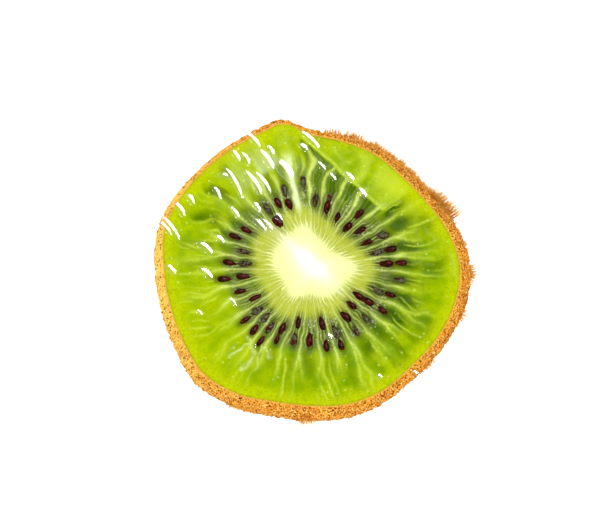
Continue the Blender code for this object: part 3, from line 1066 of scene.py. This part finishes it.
@dataclass
class Seeds:
    """The seeds, in the rows of their chambers, each a flattened drop pointed at the core."""

    form: FruitForm
    first_row: float = 9.3 * MM
    pitch: float = 1.0 * MM
    length: float = 2.2 * MM
    width: float = 1.1 * MM
    depth: float = 1.0 * MM
    sunk: float = 0.28 * MM
    taper: float = 0.55
    size_spread: float = 0.12
    turn_spread: float = math.radians(10.0)
    shift_spread: float = 0.1 * MM
    large: tuple[int, float] = (126, 0.0)
    large_size: tuple[float, float] = (1.15, 1.7)
    veiled: tuple[tuple[int, float], ...] = (
        (13, 2.0), (24, 3.8), (75, 2.8), (86, 2.0), (95, 5.0), (109, 4.2), (126, 2.7), (167, 2.2),
        (177, 1.6), (219, 2.1), (228, 2.0), (236, 2.9), (257, 3.1), (291, 2.2), (305, 3.6),
        (317, 3.2), (341, 2.6), (352, 5.7),
    )
    sides: int = 18
    rings: int = 14
    seed: int = 5

    def __post_init__(self) -> None:
        """Draw each seed's place, size, turn, tilt and slimness, and see which are veiled."""
        angles = [math.radians(a) for a, rows in self.form.chambers for _ in rows]
        rows = [row for _, rows in self.form.chambers for row in rows]
        draw = np.random.default_rng(self.seed)
        count = len(angles)
        self.angle = np.array(angles)
        shift = draw.uniform(-1.0, 1.0, count) * self.shift_spread
        self.radius = self.first_row + np.array(rows) * self.pitch + shift
        places = [(degrees, row) for degrees, rows in self.form.chambers for row in rows]
        is_large = np.array([place == self.large for place in places])
        long, wide = self.large_size
        self.size = np.where(is_large, long, 1.0) + draw.uniform(-1.0, 1.0, count) * self.size_spread
        self.turn = self.angle + draw.uniform(-1.0, 1.0, count) * self.turn_spread
        self.tilt = draw.uniform(-1.0, 1.0, count) * self.turn_spread
        self.slim = np.where(is_large, wide, 1.0) * draw.uniform(0.74, 1.0, count)
        self.veil = np.array([1.0 if place in self.veiled else 0.0 for place in places])
        self.centre = polar(self.angle, self.radius, self.form.flat - self.sunk)

    def pockets(self, points: Array) -> tuple[Array, Array]:
        """Measure how deep points of the cut lie in a seed's pocket and in the dark round it.

        Args:
            points: Points of the cut.

        Returns:
            The pocket and the dark, both between 0 and 1.
        """
        pocket = np.zeros(points.shape[:-1])
        halo = np.zeros(points.shape[:-1])
        for centre, turn, size in zip(self.centre, self.turn, self.size):
            away = points - centre
            along = (away[..., 0] * math.cos(turn) + away[..., 1] * math.sin(turn)) / self.length
            across = (away[..., 1] * math.cos(turn) - away[..., 0] * math.sin(turn)) / self.width
            gap = 2.0 * np.hypot(along, across) / size
            pocket = np.maximum(pocket, ramp(gap, 1.5, 0.9))
            halo = np.maximum(halo, ramp(gap, 2.4, 1.0))
        return pocket, halo

    def build(self, finish: SeedCoat) -> bpy.types.Object:
        """Make every seed: an ellipse turned about its length, drawn thinner to the core.

        Args:
            finish: The seeds' finish.

        Returns:
            The seeds as one piece.
        """
        u = np.linspace(0.0, math.pi, self.rings + 2)[:, None]
        v = (np.arange(self.sides) / self.sides * TURN)[None, :]
        along = -0.5 * np.cos(u) + 0.0 * v
        slim = 1.0 + self.taper * along
        shape = np.stack((
            along * self.length,
            0.5 * np.sin(u) * np.cos(v) * self.width * slim,
            0.5 * np.sin(u) * np.sin(v) * self.depth * slim,
        ), axis=-1)
        size = self.size[:, None, None]
        x, y, z = (shape[None, ..., axis] * size for axis in range(3))
        y = y * self.slim[:, None, None]
        lean, turn = self.tilt[:, None, None], self.turn[:, None, None]
        y, z = y * np.cos(lean) - z * np.sin(lean), y * np.sin(lean) + z * np.cos(lean)
        x, y = x * np.cos(turn) - y * np.sin(turn), x * np.sin(turn) + y * np.cos(turn)
        rings = np.stack((x, y, z), axis=-1) + self.centre[:, None, None, :]
        surface = closed_surface(rings[:, 1:-1], rings[:, 0, 0], rings[:, -1, 0])
        per_seed = self.rings * self.sides + 2
        surface.masks["veil"] = np.repeat(self.veil, per_seed)
        return add_piece("seeds", surface, finish.build())


@dataclass
class Skin:
    """The skin as a closed shell: bumpy outside, torn a little at the cut, corky at the stem."""

    form: FruitForm
    columns: int = 800
    side_rings: int = 92
    stem_rings: int = 14
    inner_rings: int = 6
    crowding: float = 1.4
    bump: float = 0.32 * MM
    dent: float = 0.22 * MM
    tear: float = 0.16 * MM
    rim_slope: float = 0.12 * MM
    rim_crest: float = 0.28 * MM
    rim_inner: float = 0.02 * MM
    inset: float = 0.65 * MM
    cork_reach: float = 5.6 * MM
    # Above this height the skin's gold is painted light.
    painted_light_above: float = 36.0 * MM
    ripe_below: float = 18.0 * MM
    wander: float = 4.0 * MM
    seed: int = 31

    def profile(self, angle: Array) -> Array:
        """Give the outer rings from the scar's flat up to the cut, without their bumps.

        The stem end is a smooth curve through its shoulder, groove and rim. The side follows
        the fruit's form, its rings closer together towards the cut.

        Args:
            angle: The columns' directions.

        Returns:
            Points as ring, column, coordinate.
        """
        form = self.form
        share = np.linspace(1.0, 0.0, self.side_rings)[:, None] ** self.crowding
        side = form.side(angle[None, :], form.cut_tilt + share * (form.stem_tilt - form.cut_tilt))
        knots = [polar(angle, np.full_like(angle, r * MM), h * MM) for r, h in form.stem_mm[::-1]]
        knots = np.stack((*knots, side[0], side[1]))
        place = np.linspace(0.0, len(knots) - 2.0, self.stem_rings + 1)[:-1]
        index = np.minimum(place.astype(int), len(knots) - 3)
        neighbours = (knots[np.maximum(index + step, 0)] for step in (-1, 0, 1, 2))
        stem = cubic(*neighbours, (place - index)[:, None, None])
        flat = np.stack([knots[0] * share for share in (0.35, 0.7, 0.95)])
        return np.concatenate((flat, stem, side))

    def build(self, finish: DrySkin) -> bpy.types.Object:
        """Make the skin: outer rings up, over the torn rim, and down the inside.

        Args:
            finish: The skin's finish.

        Returns:
            The skin.
        """
        form = self.form
        angle = np.arange(self.columns) / self.columns * TURN
        outer = self.profile(angle)
        height = outer[..., 2]
        turned = np.broadcast_to(angle, height.shape)
        rough = turn_noise(turned, height, 300, 0.6 * MM, self.seed)
        broad = turn_noise(turned, height, 26, 6.0 * MM, self.seed + 1)
        push = self.bump * (rough + 0.5 * np.abs(rough)) + self.dent * np.minimum(broad, 0.3)
        push = push * ramp(height, 0.8 * MM, 3.0 * MM)
        outer[..., :2] *= (1.0 + push / np.hypot(outer[..., 0], outer[..., 1]))[..., None]
        tear = self.tear * turn_noise(angle, angle * 0.0, 260, 1.0, self.seed + 2)
        outer[-1, :, 2] += np.minimum(tear, 0.0)
        crest = form.flesh_radius(angle) + self.rim_crest
        inner = form.flesh_radius(angle) + self.rim_inner
        lip = np.stack((
            polar(angle, crest + self.rim_slope, form.cut + 0.04 * MM + tear),
            polar(angle, crest, form.cut + 0.06 * MM + tear),
            polar(angle, inner, form.cut - 0.08 * MM + 0.4 * tear),
            polar(angle, inner, np.full_like(angle, form.cut - 0.5 * MM)),
        ))
        tilt = np.linspace(form.cut_tilt - 0.05, form.stem_tilt + 0.1, self.inner_rings)[:, None]
        inside = form.side(angle[None, :], tilt)
        inset = 1.0 - self.inset / np.hypot(inside[..., 0], inside[..., 1])
        inside[..., :2] *= inset[..., None]
        inside[..., 2] = np.minimum(inside[..., 2] + 0.5 * MM, form.cut - 0.8 * MM)
        rings = np.concatenate((outer, lip, inside))
        under = np.array([[0.0, 0.0, 0.0]])
        top = np.array([[0.0, 0.0, inside[-1, 0, 2]]])
        surface = closed_surface(rings[None], under, top)
        turned_all = np.broadcast_to(angle, rings.shape[:2])
        cut = np.zeros(rings.shape[:2])
        cut[len(outer) + 2:] = 1.0
        cut[len(outer) + 1] = 0.45
        reach = np.hypot(rings[..., 0], rings[..., 1])
        cork = ramp(reach, self.cork_reach, 5.0 * MM) * ramp(rings[..., 2], 3.0 * MM, 2.0 * MM)
        wander = self.wander * turn_noise(turned_all, rings[..., 2], 12, 7.0 * MM, self.seed + 3)
        # Painted light: towards the cut the skin is golden; lower down it keeps its brown.
        ripe = ramp(rings[..., 2] + np.minimum(wander, 0.0), self.painted_light_above, self.ripe_below)
        ripe = np.maximum(ripe, 0.22 * near(turned_all, 50.0, 40.0))
        # Painted light: the left side of the skin is made yellower, as if lit from there.
        surface.masks["painted_light"] = ring_mask(0.85 * near(turned_all, 178.0, 45.0), 0.0, 0.0)
        surface.masks["ripe"] = ring_mask(ripe, 1.0, 1.0)
        surface.masks["cut"] = ring_mask(cut, 0.0, 1.0)
        surface.masks["cork"] = ring_mask(cork, 1.0, 0.0)
        return add_piece("skin", surface, finish.build())


class Coat(Enum):
    """The three coats of fuzz, each a piece: its name, and its share of the side from the cut."""

    RIM = ("fuzz_rim", 0.00, 0.26)
    SIDE = ("fuzz_side", 0.26, 0.60)
    STEM = ("fuzz_stem", 0.60, 1.00)


@dataclass
class Fuzz:
    """Short stiff hairs that grow in small tufts and lean towards the stem end.

    They stand up on one side, with a few clumps of long ones, each given by its direction, its
    half width in degrees and its lushness. Elsewhere near the cut they are mostly gone.
    """

    form: FruitForm
    tufts: int = 1300
    hairs: int = 9
    spread: float = 0.34 * MM
    length: float = 1.3 * MM
    # A real hair is about 0.03 mm thick, a fifth of a pixel of the render, and wouldn't show,
    # so the hairs are drawn 0.05 to 0.12 mm thick.
    thickness: float = 0.075 * MM
    sides: int = 3
    root_sunk: float = 0.12 * MM
    ground: float = 0.06 * MM
    # Above this height the hair's gold is painted light.
    painted_light_above: float = 33.0 * MM
    dull_below: float = 16.0 * MM
    wander: float = 4.0 * MM
    lush_towards: float = 40.0
    lush_spread: float = 46.0
    clumps: tuple[tuple[float, float, float], ...] = (
        (81.0, 6.0, 1.6), (73.0, 5.0, 1.8), (63.0, 4.0, 1.6), (55.0, 5.0, 1.3), (47.0, 5.0, 1.5),
        (39.0, 5.0, 1.3), (33.0, 3.0, 1.5), (29.0, 4.0, 2.2), (26.0, 5.0, 2.6), (22.0, 5.0, 2.9),
        (12.0, 6.0, 1.2),
        (-1.0, 4.0, 1.8), (-17.0, 4.0, 1.3), (-38.0, 4.0, 1.2), (268.0, 4.0, 1.5), (243.0, 6.0, 1.1),
    )
    clump_tufts: int = 10
    seed: int = 71

    def roots(self, coat: Coat, draw: np.random.Generator) -> tuple[Array, Array, Array, Array]:
        """Scatter tufts over a coat's stretch of the side, and hairs about each tuft.

        Tilts are drawn so that each stretch of the side's curve gets tufts in proportion to
        its length times its distance from the axis. Near the cut most tufts are then dropped,
        except where the fuzz is lush.

        Args:
            coat: Which coat of fuzz.
            draw: The seeded generator.

        Returns:
            Each hair's direction, tilt and lushness, and the number of its tuft.
        """
        _, start, stop = coat.value
        tilt = np.linspace(self.form.cut_tilt, self.form.stem_tilt, 400)
        curve = self.form.side(np.zeros_like(tilt), tilt)
        step = np.linalg.norm(np.diff(curve, axis=0), axis=1)
        area = np.concatenate(([0.0], np.cumsum(step * (curve[1:, 0] + curve[:-1, 0]) / 2.0)))
        area /= area[-1]
        share = draw.uniform(start, stop, self.tufts)
        angle = draw.uniform(0.0, TURN, self.tufts)
        lush = near(angle, self.lush_towards, self.lush_spread)
        thick = np.maximum(0.75 * lush, 0.18 + 0.82 * ramp(share, 0.1, 0.5))
        if coat is Coat.RIM:
            spots = np.repeat(np.array(self.clumps), self.clump_tufts, axis=0)
            count = len(spots)
            angle[:count] = np.radians(spots[:, 0] + spots[:, 1] * draw.uniform(-0.7, 0.7, count))
            share[:count] = draw.uniform(0.12, 0.24, count)
            lush[:count] = spots[:, 2] * draw.uniform(0.7, 1.15, count)
            thick[:count] = 1.0
        kept = np.flatnonzero(draw.uniform(0.0, 1.0, self.tufts) < thick)
        tuft = np.repeat(kept, self.hairs)
        loose = 1.0 + 0.9 * (lush[tuft] > 1.0)
        scatter = draw.normal(0.0, 1.0, (2, len(tuft))) * loose * self.spread / self.form.widest
        hair_tilt = np.interp(share[tuft], area, tilt) + scatter[0]
        top = self.form.cut_tilt - 0.004
        return angle[tuft] + scatter[1], np.clip(hair_tilt, self.form.stem_tilt, top), lush[tuft], tuft

    def build(self, coat: Coat, material: bpy.types.Material) -> bpy.types.Object:
        """Make one coat: each hair a slim three-sided spine, bent once, closed at both ends.

        A hair's way is outwards, plus down the side, plus sideways, with one lean for its
        whole tuft and a little of its own.

        Args:
            coat: Which coat of fuzz.
            material: The hairs' finish.

        Returns:
            The coat of fuzz.
        """
        form = self.form
        draw = np.random.default_rng(self.seed + list(Coat).index(coat))
        angle, tilt, lush, tuft = self.roots(coat, draw)
        count = len(angle)
        small = 1e-3
        root = form.side(angle, tilt)
        east = form.side(angle + small, tilt) - root
        down = root - form.side(angle, tilt + small)
        east /= np.linalg.norm(east, axis=1, keepdims=True)
        down /= np.linalg.norm(down, axis=1, keepdims=True)
        out = np.cross(down, east)
        common = draw.normal(0.0, 1.0, (2, self.tufts))[:, tuft]
        own = draw.normal(0.0, 1.0, (3, count))
        calm = 1.0 / (1.0 + 2.0 * np.maximum(lush - 1.0, 0.0))
        sideways = calm * (0.55 * common[0] + 0.18 * own[0])
        lie = 1.2 - 0.95 * np.minimum(lush, 1.0) + calm * (0.3 * common[1] + 0.12 * own[1])
        way = out + down * lie[:, None] + east * sideways[:, None]
        way /= np.linalg.norm(way, axis=1, keepdims=True)
        droop = way + down * 0.35 + east * (0.15 * own[2])[:, None]
        droop /= np.linalg.norm(droop, axis=1, keepdims=True)
        tall = 0.45 + 0.6 * np.minimum(lush, 1.0) + 0.9 * np.maximum(lush - 1.0, 0.0)
        reach = self.length * tall * draw.uniform(0.55, 1.1, count)
        across = np.cross(way, out)
        across /= np.linalg.norm(across, axis=1, keepdims=True) + 1e-9
        upright = np.cross(way, across)
        middle = root + way * (0.5 * reach)[:, None]
        tip = middle + droop * (0.5 * reach)[:, None]
        base = root - out * self.root_sunk
        v = (np.arange(self.sides) / self.sides * TURN)[None, :, None]
        ring = across[:, None, :] * np.cos(v) + upright[:, None, :] * np.sin(v)
        thick = self.thickness * (draw.uniform(0.35, 0.6, count) + 0.2 * (lush > 1.0))[:, None, None]
        low_ring, high_ring = base[:, None, :] + ring * thick, middle[:, None, :] + ring * thick * 0.75
        rings = np.stack((low_ring, high_ring), axis=1)
        surface = closed_surface(rings, base, tip)
        surface.points[:, 2] = np.maximum(surface.points[:, 2], self.ground)
        grade = np.array([0.0, *([0.0] * self.sides), *([0.5] * self.sides), 1.0])
        surface.masks["tip"] = np.tile(grade, count)
        x, y, z = surface.points.T
        wander = self.wander * turn_noise(np.arctan2(y, x), z, 12, 7.0 * MM, self.seed + 9)
        # Painted light: hairs near the cut are golden; lower ones keep their dull brown.
        surface.masks["low"] = ramp(z + wander, self.painted_light_above, self.dull_below)
        return add_piece(coat.value[0], surface, material)


@dataclass
class Juice:
    """Juice that stands on the cut in long flat beads, which run from upper left to lower right.

    Each bead is given by its two ends on the cut and its width, all in millimetres.
    """

    form: FruitForm
    beads_mm: tuple[tuple[float, float, float, float, float], ...] = (
        (-10.6, 22.6, -8.5, 20.5, 0.9), (-12.9, 19.6, -11.9, 17.9, 0.8), (-11.4, 19.3, -10.2, 17.4, 0.8),
        (-8.4, 19.8, -6.2, 16.8, 1.1), (-7.1, 20.4, -6.2, 19.2, 0.8), (-5.1, 18.0, -3.0, 15.2, 1.8),
        (-14.1, 16.7, -11.3, 11.5, 0.8), (-10.8, 16.2, -8.2, 12.5, 1.0), (-9.1, 16.0, -6.6, 12.5, 0.8),
        (-15.1, 15.8, -14.1, 15.5, 0.9), (-16.0, 13.4, -15.0, 11.3, 0.9), (-20.3, 12.1, -19.5, 10.7, 0.9),
        (-22.5, 10.8, -21.0, 8.7, 0.9), (-24.8, 8.5, -21.9, 4.8, 0.9), (-25.1, 7.6, -23.4, 5.7, 0.8),
        (-13.3, 10.1, -12.0, 8.5, 0.8), (-9.3, 10.8, -8.4, 9.2, 0.8), (-9.1, 8.0, -7.5, 6.2, 0.9),
        (-7.9, 8.0, -6.4, 6.3, 0.8), (-15.6, 5.3, -14.5, 4.2, 0.9), (-18.5, 4.2, -16.5, 2.5, 1.1),
        (-5.6, 9.0, -4.8, 7.9, 0.8), (-23.8, 0.3, -22.6, -1.0, 1.0), (-18.3, -0.2, -16.5, -1.6, 1.1),
        (-13.5, -5.2, -12.4, -6.4, 0.6), (-18.9, -7.2, -18.1, -8.0, 0.6), (-1.5, 23.0, 1.4, 20.3, 0.9),
        (-1.7, 20.8, -0.7, 20.0, 0.9), (1.4, 17.7, 2.4, 16.5, 0.7), (3.3, 15.8, 4.2, 14.7, 0.7),
        (6.0, 16.0, 7.2, 14.7, 1.0), (8.2, 13.3, 9.3, 12.0, 0.9), (2.9, -11.2, 3.5, -11.8, 0.9),
        (11.2, -17.9, 11.8, -18.4, 0.7), (17.1, -17.3, 17.7, -17.8, 0.6),
        (-9.1, -12.9, -9.6, -15.3, 0.3), (-9.7, -15.5, -11.7, -17.1, 0.3),
        (-14.0, -14.6, -12.2, -12.6, 0.25), (-6.6, -13.6, -7.0, -15.2, 0.25),
    )
    lift: float = 0.32 * MM
    swell: float = 0.075
    spare: float = 1.3
    rings: int = 14
    sides: int = 16
    bow: float = 0.08

    def build(self, finish: ClearJuice) -> bpy.types.Object:
        """Make every bead: a long flat drop, bowed a little, on a slightly sunk base.

        Across the bead its height is the parabola 1 - t^2, so its slope grows evenly to the
        edge, and along it the width follows sin(u)^0.8.

        Args:
            finish: The juice's finish.

        Returns:
            The beads as one piece.
        """
        table = np.array(self.beads_mm) * MM
        start, stop, width = table[:, 0:2], table[:, 2:4], table[:, 4] * self.spare
        run = stop - start
        long = np.linalg.norm(run, axis=1)
        way = run / long[:, None]
        aside = np.stack((-way[:, 1], way[:, 0]), axis=-1)
        middle = (start + stop) / 2.0 - aside * (0.25 * width)[:, None]
        u = np.linspace(0.0, math.pi, self.rings + 2)[:, None]
        v = (np.arange(self.sides) / self.sides * TURN)[None, :]
        along = (-0.5 * np.cos(u) + 0.0 * v)[None] * (long + width * 0.6)[:, None, None]
        fat = np.sin(u) ** 0.8
        across = (0.5 * fat * np.cos(v))[None] * width[:, None, None]
        dome = np.sin(v) ** 2 * np.where(np.sin(v) > 0.0, 1.0, -0.02)
        up = (fat * dome)[None] * (width * self.swell)[:, None, None]
        bowed = across + self.bow * (np.sin(u)[None] - 0.5) * long[:, None, None]
        flat = middle[:, None, None, :] + along[..., None] * way[:, None, None, :]
        flat = flat + bowed[..., None] * aside[:, None, None, :]
        rings = np.concatenate((flat, (up + self.form.flat + self.lift)[..., None]), axis=-1)
        surface = closed_surface(rings[:, 1:-1], rings[:, 0, 0], rings[:, -1, 0])
        return add_piece("juice_beads", surface, finish.build())


@dataclass(frozen=True)
class SoftBox:
    """A square light panel: where it stands, what it aims at, its side and its power."""

    name: str
    place: tuple[float, float, float]
    side: float
    power: float
    glints_only: bool = False

    def build(self, target: Vector) -> None:
        """Hang the panel and aim it at the fruit."""
        lamp = bpy.data.lights.new(self.name, "AREA")
        lamp.size = self.side
        lamp.energy = self.power
        panel = bpy.data.objects.new(self.name, lamp)
        panel.location = self.place
        panel.rotation_euler = (target - Vector(self.place)).to_track_quat("-Z", "Y").to_euler()
        panel.visible_diffuse = not self.glints_only
        bpy.context.scene.collection.objects.link(panel)


@dataclass
class Studio:
    """A white card floor, soft light from above, and the photograph's near-vertical view."""

    form: FruitForm
    photo_width_px: float = 612.0
    scale_px_per_mm: float = 6.0
    axis_px: tuple[float, float] = (311.0, 267.0)
    middle_px: tuple[float, float] = (306.0, 264.5)
    lean: float = math.radians(6.4)
    lean_towards: float = math.radians(255.0)
    distance: float = 0.6
    sensor_mm: float = 36.0
    floor_half: float = 0.9
    sky: float = 0.5
    panels: tuple[SoftBox, ...] = (
        SoftBox("key_panel", (0.30, 0.38, 0.50), 0.40, 2.2),
        SoftBox("fill_panel", (-0.50, 0.05, 0.45), 0.50, 2.0),
        SoftBox("front_panel", (0.05, -0.55, 0.40), 0.50, 2.0),
        SoftBox("glint_panel", (0.149, 0.180, 0.59), 0.25, 6.5, True),
    )

    def build(self) -> None:
        """Set the floor, the lights, the sky and the camera."""
        self.add_floor()
        target = Vector((0.0, 0.0, self.form.cut))
        for panel in self.panels:
            panel.build(target)
        world = bpy.data.worlds.new("pale_sky")
        world.use_nodes = True
        world.node_tree.nodes["Background"].inputs["Color"].default_value = (1.0, 1.0, 1.0, 1.0)
        world.node_tree.nodes["Background"].inputs["Strength"].default_value = self.sky
        scene = bpy.context.scene
        scene.world = world
        scene.view_settings.view_transform = "Standard"
        scene.view_settings.look = "None"
        self.add_camera()

    def add_floor(self) -> None:
        """Lay a square of white card at the height that the half stands on."""
        half = self.floor_half
        mesh = bpy.data.meshes.new("floor")
        corners = [(-half, -half, 0.0), (half, -half, 0.0), (half, half, 0.0), (-half, half, 0.0)]
        mesh.from_pydata(corners, [], [(0, 1, 2, 3)])
        mesh.materials.append(PaleCard().build())
        floor = bpy.data.objects.new("floor", mesh)
        bpy.context.scene.collection.objects.link(floor)

    def add_camera(self) -> None:
        """Look down at the cut, leaning as the photograph does, with its scale and framing."""
        lean, towards = self.lean, self.lean_towards
        back = Vector((
            math.sin(lean) * math.cos(towards), math.sin(lean) * math.sin(towards), math.cos(lean)
        ))
        right = Vector((0.0, 1.0, 0.0)).cross(back).normalized()
        up = back.cross(right)
        aside = (self.middle_px[0] - self.axis_px[0]) / self.scale_px_per_mm * MM
        above = (self.axis_px[1] - self.middle_px[1]) / self.scale_px_per_mm * MM
        target = Vector((0.0, 0.0, self.form.cut)) + right * aside + up * above
        lens = bpy.data.cameras.new("camera")
        lens.sensor_width = self.sensor_mm
        lens.lens = self.sensor_mm * self.distance * self.scale_px_per_mm / (self.photo_width_px * MM)
        lens.clip_start = 0.01
        lens.clip_end = 10.0
        camera = bpy.data.objects.new("camera", lens)
        turn = Matrix((right, up, back)).transposed().to_4x4()
        camera.matrix_world = Matrix.Translation(target + back * self.distance) @ turn
        bpy.context.scene.collection.objects.link(camera)
        bpy.context.scene.camera = camera


def main() -> None:
    """Build the half's pieces in order, then the studio, and log how many triangles each piece has."""
    logging.basicConfig(level=logging.INFO, format="%(name)s: %(message)s")
    form = FruitForm()
    seeds = Seeds(form)
    hair = StiffHair().build()
    fuzz = Fuzz(form)
    pieces = [
        CutFlesh(form).build(WetFlesh(), seeds),
        seeds.build(SeedCoat()),
        Skin(form).build(DrySkin()),
        *(fuzz.build(coat, hair) for coat in Coat),
        Juice(form).build(ClearJuice()),
    ]
    Studio(form).build()
    for piece in pieces:
        count = sum(len(face.vertices) - 2 for face in piece.data.polygons)
        LOG.info("%s: %d triangles", piece.name, count)


if __name__ == "__main__":
    main()
